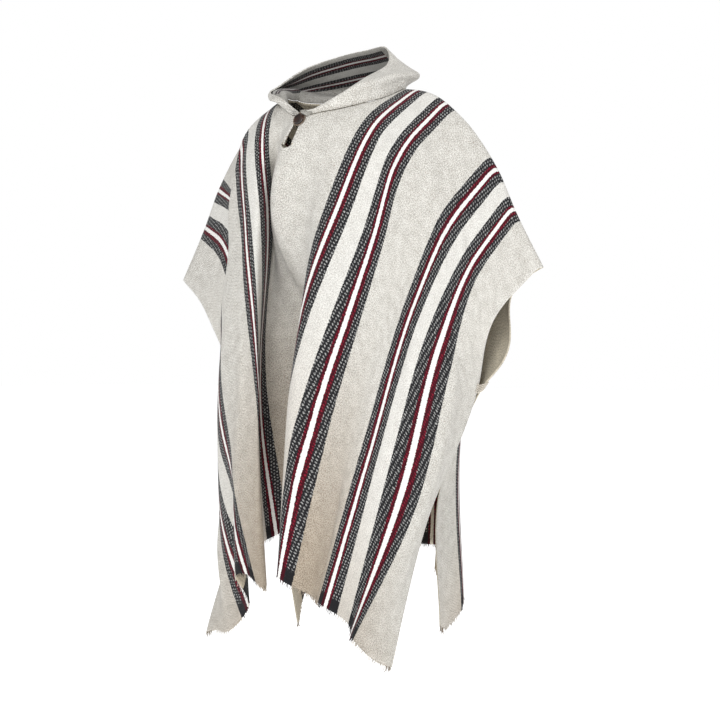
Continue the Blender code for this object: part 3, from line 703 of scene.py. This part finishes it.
# Soft creases: u and t where each begins and ends, how wide it is, and how far it lifts the cloth.
FRONT_CREASES = (
    (0.130, 0.10, 0.300, 0.34, 0.014, 0.0050),
    (0.180, 0.08, 0.430, 0.26, 0.016, 0.0060),
    (0.250, 0.06, 0.520, 0.20, 0.014, -0.0045),
    (0.300, 0.30, 0.330, 0.78, 0.020, 0.0060),
    (0.370, 0.36, 0.380, 0.80, 0.018, -0.0050),
    (0.430, 0.28, 0.470, 0.62, 0.016, 0.0050),
    (0.200, 0.40, 0.215, 0.86, 0.018, -0.0045),
    (0.160, 0.56, 0.230, 0.97, 0.014, 0.0040),
    (0.280, 0.70, 0.300, 1.04, 0.014, -0.0050),
    (0.350, 0.72, 0.365, 1.04, 0.012, 0.0045),
    (-0.030, 0.26, -0.010, 0.74, 0.016, -0.0050),
    (-0.150, 0.08, -0.320, 0.28, 0.014, 0.0050),
    (-0.210, 0.06, -0.450, 0.22, 0.015, -0.0050),
    (-0.300, 0.26, -0.430, 0.62, 0.018, 0.0055),
    (-0.400, 0.24, -0.480, 0.56, 0.014, -0.0045),
    (-0.460, 0.60, -0.470, 0.98, 0.014, 0.0050),
    (-0.240, 0.44, -0.330, 0.84, 0.014, 0.0040),
    (-0.370, 0.66, -0.400, 1.02, 0.012, -0.0045),
)
BACK_CREASES = (
    (0.060, 0.06, 0.180, 0.26, 0.016, 0.0050),
    (0.150, 0.08, 0.300, 0.30, 0.015, -0.0050),
    (0.220, 0.06, 0.450, 0.24, 0.016, 0.0055),
    (0.330, 0.26, 0.350, 0.70, 0.020, 0.0055),
    (0.440, 0.30, 0.455, 0.74, 0.016, -0.0050),
    (0.150, 0.42, 0.150, 0.96, 0.016, 0.0050),
    (0.050, 0.36, 0.045, 0.88, 0.016, -0.0045),
    (-0.050, 0.30, -0.050, 0.92, 0.016, 0.0050),
    (-0.080, 0.06, -0.210, 0.24, 0.016, 0.0050),
    (-0.180, 0.08, -0.340, 0.28, 0.015, -0.0050),
    (-0.260, 0.06, -0.470, 0.24, 0.016, 0.0050),
    (-0.260, 0.40, -0.255, 0.96, 0.018, 0.0050),
    (-0.370, 0.28, -0.375, 0.76, 0.018, -0.0055),
    (-0.470, 0.32, -0.480, 0.86, 0.014, 0.0045),
)

# The slit below the button: how far its sides stand apart, where, and over what length and breadth.
SLIT_SPREAD = 0.0065
SLIT_WIDEST = 0.190
SLIT_SPREAD_LENGTH = 0.022
SLIT_SPREAD_REACH = 0.022


def slit_opened(u, t, points):
    """The slit's sides stand apart below the button: a push aside, strongest at its edges and halfway down."""
    drop = t * FOLD_TO_HEM
    amount = SLIT_SPREAD * np.exp(-(((drop - SLIT_WIDEST) / SLIT_SPREAD_LENGTH) ** 2))
    beyond = np.clip(np.abs(u) - SLIT_HALF_WIDTH, 0.0, None)
    within = np.clip(u / SLIT_HALF_WIDTH, -1.0, 1.0)
    points[..., 0] += amount * within * np.exp(-beyond / SLIT_SPREAD_REACH)
    return points


def half_cloth(folds, at, start, creases, u):
    """One half of the body cloth with its flat places: rows from its upper edge, level from JOIN_T to the hem."""
    first = start(u)
    upper = first + np.linspace(0.0, 1.0, UPPER_ROWS)[:, None] * (JOIN_T - first)
    lower = np.linspace(JOIN_T, HEM_T, LOWER_ROWS)[1:, None]
    t = np.concatenate([upper, np.broadcast_to(lower, (LOWER_ROWS - 1, u.size))])
    u_here = sliding(folds, u, t)
    points = at(u_here, t)
    normals = outward_normals(points) * (1.0 if at is front_at else -1.0)
    lift = creased(u_here, t, creases) * smooth_step(*CREASE_START, t)
    points = points + normals * lift[..., None]
    if at is front_at:
        points = slit_opened(u_here, t, points)
    return points, u_here, t


def body_cloth():
    """The whole cloth as one sheet: both halves share their vertices along the shoulder fold."""
    slit = SLIT_HALF_WIDTH * np.array([0.35, 0.65, 0.85, 0.95, 0.9999, 1.06, 1.5, 2.1])
    even = np.linspace(-HALF_WIDTH, HALF_WIDTH, BODY_COLUMNS)
    even = even[np.abs(even) > slit[-1] + 0.003]
    u = np.unique(np.concatenate([even, -slit, slit, [0.0, -NECK_HALF_WIDTH, NECK_HALF_WIDTH]]))
    front, front_u, front_t = half_cloth(FRONT_FOLDS, front_at, front_start, FRONT_CREASES, u)
    back, back_u, back_t = half_cloth(BACK_FOLDS, back_at, back_start, BACK_CREASES, u)
    front_ids = np.arange(front_u.size).reshape(front_u.shape)
    back_ids = front_ids + front_u.size
    outside = np.abs(u) >= NECK_HALF_WIDTH - 1e-9
    back_ids[0, outside] = front_ids[0, outside]
    front[0, outside] = (front[0, outside] + back[0, outside]) / 2
    points = np.concatenate([front.reshape(-1, 3), back.reshape(-1, 3)])
    flat_x = np.concatenate([front_u.ravel(), back_u.ravel()]) + HALF_WIDTH
    flat_y = FOLD_TO_HEM * np.concatenate([1.0 - front_t.ravel(), 1.0 + back_t.ravel()])
    places = np.stack([flat_x, flat_y], axis=-1)
    faces = np.concatenate([grid_faces(front_ids), grid_faces(back_ids[:, ::-1])])
    made = piece("body_cloth", points, faces, places[faces], ("front", "back"), body_wool)
    return thicken(made, CLOTH_THICKNESS, body_inside_shade, rim=1)


# The fringe.

FRINGE_STRANDS = 420
FRINGE_RINGS = np.linspace(0.0, 1.0, 4)
FRINGE_RADIUS = 0.0009
FRINGE_LENGTH = 0.0088
TUFT_STRANDS = 6
TUFT_RADIUS = 0.0010


def hem_strands(at, u, length, lean, side):
    """Paths of strands that leave the hem at u: on down the cloth's slope, leaning, and curling by a square law."""
    t = np.full(u.size, HEM_T - 0.004)
    root = at(u, t)
    down = unit(at(u, np.full(u.size, 0.9988)) - root)
    beside = np.clip(u + 0.002, -HALF_WIDTH, HALF_WIDTH), np.clip(u - 0.002, -HALF_WIDTH, HALF_WIDTH)
    along = unit(at(beside[0], t) - at(beside[1], t))
    normal = np.cross(down, along) * side
    root = root - normal * CLOTH_THICKNESS / 2
    s = FRINGE_RINGS[None, :, None]
    bend = lean[0][:, None] * along + lean[1][:, None] * normal
    return root[:, None] + length[:, None, None] * (s * down[:, None] + s * s * bend[:, None])


def fringe(name, at, side, seed):
    """The cloth's cut warp below one hem, in short uneven strands with the stripes' own colours."""
    chance = np.random.default_rng(seed)
    u = np.linspace(-HALF_WIDTH, HALF_WIDTH, FRINGE_STRANDS) + chance.normal(0.0, 0.0006, FRINGE_STRANDS)
    u = np.clip(u, -HALF_WIDTH + 0.001, HALF_WIDTH - 0.001)
    length = FRINGE_LENGTH * chance.uniform(0.65, 1.15, u.size)
    lean = chance.normal(0.0, 0.16, (2, u.size))
    paths = hem_strands(at, u, length, lean, side)
    points, faces = tubes(paths, FRINGE_RADIUS * (1.0 - 0.55 * FRINGE_RINGS), 4)
    corner_u = np.repeat(u + HALF_WIDTH, points[0].size // 3)
    at_hem = 0.002 if side > 0 else 2.0 * FOLD_TO_HEM - 0.002
    places = np.stack([corner_u, np.full(corner_u.size, at_hem)], axis=-1)
    return piece(name, points, faces, places[faces], (), body_wool)


def corner_tufts():
    """A few longer, browner strands at each of the cloth's four corners."""
    chance = np.random.default_rng(11)
    paths = []
    for at, side in ((front_at, 1.0), (back_at, -1.0)):
        for sign in (-1.0, 1.0):
            u = sign * (HALF_WIDTH - 0.001 - chance.uniform(0.0, 0.012, TUFT_STRANDS))
            length = chance.uniform(0.009, 0.015, TUFT_STRANDS)
            lean = chance.normal(0.0, 0.25, (2, TUFT_STRANDS))
            paths.append(hem_strands(at, u, length, lean, side))
    points, faces = tubes(np.concatenate(paths), TUFT_RADIUS * (1.0 - 0.6 * FRINGE_RINGS), 4)
    return piece("corner_tufts", points, faces, None, (), tuft_yarn)


# The hood.

HOOD_COLUMNS = 170
HOOD_LINES = 40
HOOD_THICKNESS = 0.0026
PEAK_ANGLE = np.radians(160.0)
RIM_HEM = 0.88
HOOD_BANDS_FROM = 0.1005
HOOD_BANDS_SCALE = 2.0
HOOD_BANDS_END = np.radians(312.0)
HOOD_BANDS_PAST = 0.235
HOOD_PAST_SCALE = 0.25
HOOD_PLAIN_FROM = 0.09
HOOD_LENGTH_PER_DEGREE = 0.0021
RIM_HEM_LIFT = 0.0007


def hood():
    """The hood's shell round the neck: its outer face is the solid's, with a turned hem at its rim and creases.

    Its bands run round it below the rim from the peak to the right lapel. Past them the flat place goes on
    more slowly, so that the foot stays plain.
    """
    first = np.arcsin((SLIT_HALF_WIDTH + SEAM_GAP) / NECK_HALF_WIDTH)
    left = np.linspace(first, PEAK_ANGLE, HOOD_COLUMNS // 2)
    right = np.linspace(PEAK_ANGLE, 2.0 * np.pi - first, HOOD_COLUMNS // 2)
    angle = np.concatenate([left, right[1:]])[::-1]
    rise = np.linspace(0.0, 1.0, HOOD_LINES)
    points = hood_at(angle, rise)
    normals = outward_normals(points)
    lift = RIM_HEM_LIFT * smooth_step(RIM_HEM, RIM_HEM + 0.03, rise)[:, None]
    lift = lift + hood_creases(np.degrees(angle)[None], rise[:, None])
    points = points + normals * lift[..., None]
    ids = np.arange(points.shape[0] * points.shape[1]).reshape(points.shape[:2])
    faces = grid_faces(ids)
    climb = np.linalg.norm(np.diff(points, axis=0), axis=-1)
    height = np.concatenate([np.zeros((1, angle.size)), np.cumsum(climb, axis=0)])
    round_neck = np.degrees(angle) * HOOD_LENGTH_PER_DEGREE
    banded = (angle[:-1] > PEAK_ANGLE + 1e-6) & (angle[:-1] < HOOD_BANDS_END)
    is_banded = np.repeat(banded[None], HOOD_LINES - 1, axis=0).ravel()
    beyond = HOOD_BANDS_FROM + HOOD_BANDS_SCALE * (height[-1:] - height)
    slower = HOOD_BANDS_PAST + HOOD_PAST_SCALE * (beyond - HOOD_BANDS_PAST)
    across_bands = HALF_WIDTH + np.minimum(beyond, slower)
    across_plain = HALF_WIDTH - HOOD_PLAIN_FROM + height
    along = np.broadcast_to(round_neck, height.shape) + 0.2
    banded_places = np.stack([across_bands, along], axis=-1).reshape(-1, 2)
    plain_places = np.stack([across_plain, along], axis=-1).reshape(-1, 2)
    places = np.where(is_banded[:, None, None], banded_places[faces], plain_places[faces])
    made = piece("hood_shell", points, faces, places, ("hood",), hood_wool)
    return thicken(made, HOOD_THICKNESS, hood_inside_shade)


# The hood's creases: angle and rise where each begins and ends, how wide it is in degrees, and its lift.
HOOD_CREASES = (
    (30.0, 0.20, 120.0, 0.34, 7.0, -0.0035),
    (60.0, 0.50, 150.0, 0.62, 8.0, 0.0030),
    (15.0, 0.35, 70.0, 0.75, 6.0, 0.0025),
    (120.0, 0.25, 200.0, 0.40, 8.0, -0.0040),
    (190.0, 0.60, 280.0, 0.50, 8.0, 0.0035),
    (230.0, 0.25, 300.0, 0.35, 7.0, -0.0035),
    (300.0, 0.30, 345.0, 0.70, 6.0, 0.0030),
)
RISE_DEGREES = 60.0


def hood_creases(degrees, rise):
    """Lift of the hood's creases: bells across lines in angle and rise, a rise of 1 counting as RISE_DEGREES."""
    lift = np.zeros(np.broadcast_shapes(degrees.shape, rise.shape))
    for k, (d0, r0, d1, r1, reach, height) in enumerate(HOOD_CREASES):
        way = np.array([d1 - d0, (r1 - r0) * RISE_DEGREES])
        length = np.hypot(*way)
        way = way / length
        x, y = degrees - d0, (rise - r0) * RISE_DEGREES
        along = (x * way[0] + y * way[1]) / length
        aside = x * way[1] - y * way[0] + 0.3 * reach * np.sin(6.0 * along + k)
        fade = smooth_step(0.0, 0.3, along) * smooth_step(1.0, 0.7, along)
        lift += height * fade * np.exp(-((aside / reach) ** 2))
    return lift * smooth_step(0.0, 0.15, rise)


# The button, its loop and the side tacks.

BUTTON_SIDES = 72
BUTTON_RINGS = 46
LOOP_RINGS = 260
LOOP_SIDES = 12
LOOP_TWISTS = 34.0
# The button's half section, from under its middle over its rim to the top's middle: shares of radius and depth.
BUTTON_PROFILE = (
    (0.00, 0.00),
    (0.62, 0.00),
    (0.92, 0.16),
    (1.00, 0.42),
    (0.97, 0.74),
    (0.84, 1.00),
    (0.66, 0.90),
    (0.40, 0.76),
    (0.16, 0.72),
    (0.00, 0.71),
)


def button():
    """The button turned about the cloth's normal: a smooth curve through its half section, swept round."""
    middle, out, side, down = button_frame()
    profile = np.array(BUTTON_PROFILE)
    knots = np.arange(len(profile)).astype(float)
    reach, lift = hermite(knots, profile.T, np.broadcast_to(np.linspace(0.0, knots[-1], BUTTON_RINGS), (2, BUTTON_RINGS)))
    turn = np.linspace(0.0, 2.0 * np.pi, BUTTON_SIDES, endpoint=False)[None, :, None]
    ring = np.cos(turn) * side + np.sin(turn) * down
    level = (SEAM_GAP + lift * BUTTON_DEPTH)[1:-1, None, None]
    points = middle + np.clip(reach, 0.0, 1.0)[1:-1, None, None] * BUTTON_RADIUS * ring + level * out
    ids = np.arange(points.shape[0] * BUTTON_SIDES).reshape(points.shape[:2])
    closed = np.concatenate([ids, ids[:, :1]], axis=1)
    poles = middle + out * np.array([[SEAM_GAP], [SEAM_GAP + BUTTON_PROFILE[-1][1] * BUTTON_DEPTH]])
    low, high = ids.size, ids.size + 1
    after = np.roll(ids, -1, axis=1)
    under = np.stack([ids[0], after[0], np.full(BUTTON_SIDES, low)], axis=-1)
    over = np.stack([after[-1], ids[-1], np.full(BUTTON_SIDES, high)], axis=-1)
    points = np.concatenate([points.reshape(-1, 3), poles])
    faces = grid_faces(closed[:, ::-1]).tolist() + under.tolist() + over.tolist()
    mesh = bpy.data.meshes.new("horn_button")
    mesh.from_pydata(points.tolist(), [], faces)
    mesh.shade_smooth()
    mesh.validate()
    mesh.materials.append(horn_finish)
    made = bpy.data.objects.new("horn_button", mesh)
    bpy.context.scene.collection.objects.link(made)
    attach(made, "root")
    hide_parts("button")
    return made


def button_loop():
    """A twisted cord ring round the button: a ring whose own section is two-lobed and turns as it goes."""
    middle, out, side, down = button_frame()
    turn = np.linspace(0.0, 2.0 * np.pi, LOOP_RINGS, endpoint=False)[:, None, None]
    around = np.linspace(0.0, 2.0 * np.pi, LOOP_SIDES, endpoint=False)[None, :, None]
    thread = LOOP_THREAD * (0.86 + 0.14 * np.cos(2.0 * around + LOOP_TWISTS * turn))
    radial = np.cos(turn) * side + np.sin(turn) * down
    points = middle + radial * (LOOP_RADIUS + thread * np.cos(around))
    points = points + out * (SEAM_GAP + LOOP_THREAD + thread * np.sin(around))
    ids = np.arange(LOOP_RINGS * LOOP_SIDES).reshape(LOOP_RINGS, LOOP_SIDES)
    ids = np.concatenate([ids, ids[:1]], axis=0)
    ids = np.concatenate([ids, ids[:, :1]], axis=1)
    return piece("cord_loop", points, grid_faces(ids[:, ::-1]), None, ("button_loop",), cord_yarn)


TACK_STITCHES = 5
STITCH_RINGS = 14
STITCH_RADIUS = 0.0009


def side_stitches(name, node, sign):
    """Stitches over the two selvedges: short arcs from the front's edge round to the back's."""
    t = TACK_T + np.linspace(-0.0085, 0.0085, TACK_STITCHES)
    inset = np.full(TACK_STITCHES, sign * (HALF_WIDTH - 0.006))
    edge = np.full(TACK_STITCHES, sign * HALF_WIDTH)
    front_in, front_edge = front_at(inset, t), front_at(edge, t)
    back_edge, back_in = back_at(edge, t), back_at(inset, t)
    knots = np.array([0.0, 0.3, 0.7, 1.0])
    outward = np.array([sign * 0.0022, 0.0, 0.0])
    stack = np.stack([front_in, front_edge + outward, back_edge + outward, back_in], axis=-1)
    at = np.broadcast_to(np.linspace(0.0, 1.0, STITCH_RINGS), (TACK_STITCHES, 3, STITCH_RINGS))
    paths = np.transpose(hermite(knots, stack, at), (0, 2, 1))
    swell = 0.0006 * np.sin(np.linspace(0.0, np.pi, STITCH_RINGS))[None, :, None]
    bulge = swell * unit(paths - paths.mean(axis=(0, 1)))
    points, faces = tubes(paths + bulge, STITCH_RADIUS, 8)
    return piece(name, points, faces, None, (node,), tack_yarn)


cloth = body_cloth()
front_fringe = fringe("front_fringe", front_at, 1.0, 3)
back_fringe = fringe("back_fringe", back_at, -1.0, 5)
tufts = corner_tufts()
hood_shell = hood()
button()
button_loop()
side_stitches("left_stitches", "left_side_tack", 1.0)
side_stitches("right_stitches", "right_side_tack", -1.0)

# The floor, the light and the camera.

FLOOR_HEIGHT = -1.05
FLOOR_HALF = 30.0
corners = [(x * FLOOR_HALF, y * FLOOR_HALF, FLOOR_HEIGHT) for x, y in ((-1, -1), (1, -1), (1, 1), (-1, 1))]
floor_mesh = bpy.data.meshes.new("floor")
floor_mesh.from_pydata(corners, [], [(0, 1, 2, 3)])
floor = bpy.data.objects.new("floor", floor_mesh)
bpy.context.scene.collection.objects.link(floor)
floor_finish, floor_tree, floor_shader = new_material("pale floor", 0.9)
floor_shader.inputs["Base Color"].default_value = (0.93, 0.93, 0.93, 1.0)
floor_shader.inputs["Emission Color"].default_value = (1.0, 1.0, 1.0, 1.0)
floor_shader.inputs["Emission Strength"].default_value = 0.78
floor_mesh.materials.append(floor_finish)


def soft_light(name, place, size, power):
    """A square area light of that size that faces the garment's middle."""
    light = bpy.data.lights.new(name, "AREA")
    light.size = size
    light.energy = power
    made = bpy.data.objects.new(name, light)
    made.location = place
    way = np.array([0.0, 0.0, -0.42]) - np.array(place)
    tilt = np.arctan2(np.hypot(way[0], way[1]), -way[2])
    made.rotation_euler = (tilt, 0.0, np.arctan2(way[1], way[0]) - np.pi / 2)
    bpy.context.scene.collection.objects.link(made)


soft_light("key", (1.2, -2.9, 0.75), 1.2, 47.0)
soft_light("side", (3.0, -0.9, 1.5), 1.4, 20.0)
soft_light("top", (0.2, 0.4, 2.8), 2.0, 34.0)

world = bpy.data.worlds.new("studio")
world.use_nodes = True
sky = Tree(world.node_tree)
lit = world.node_tree.nodes["Background"]
lit.inputs["Color"].default_value = (1.0, 1.0, 1.0, 1.0)
lit.inputs["Strength"].default_value = 0.36
seen = sky.add("Background")
seen.inputs["Color"].default_value = (1.0, 1.0, 1.0, 1.0)
both = sky.add("MixShader")
sky.put(both.inputs[0], sky.add("LightPath").outputs["Is Camera Ray"])
sky.put(both.inputs[1], lit.outputs[0])
sky.put(both.inputs[2], seen.outputs[0])
sky.put(world.node_tree.nodes["World Output"].inputs["Surface"], both.outputs[0])
bpy.context.scene.world = world
bpy.context.scene.view_settings.view_transform = "Standard"

CAMERA_AZIMUTH = np.radians(37.0)
CAMERA_DISTANCE = 3.0
CAMERA_HEIGHT = -0.425
lens = bpy.data.cameras.new("camera")
lens.lens = 90.0
lens.sensor_width = 36.0
lens.shift_x = 10.0 / 720.0
camera = bpy.data.objects.new("camera", lens)
camera.location = (
    np.sin(CAMERA_AZIMUTH) * CAMERA_DISTANCE,
    -np.cos(CAMERA_AZIMUTH) * CAMERA_DISTANCE,
    CAMERA_HEIGHT,
)
camera.rotation_euler = (np.pi / 2, 0.0, CAMERA_AZIMUTH)
bpy.context.scene.collection.objects.link(camera)
bpy.context.scene.camera = camera
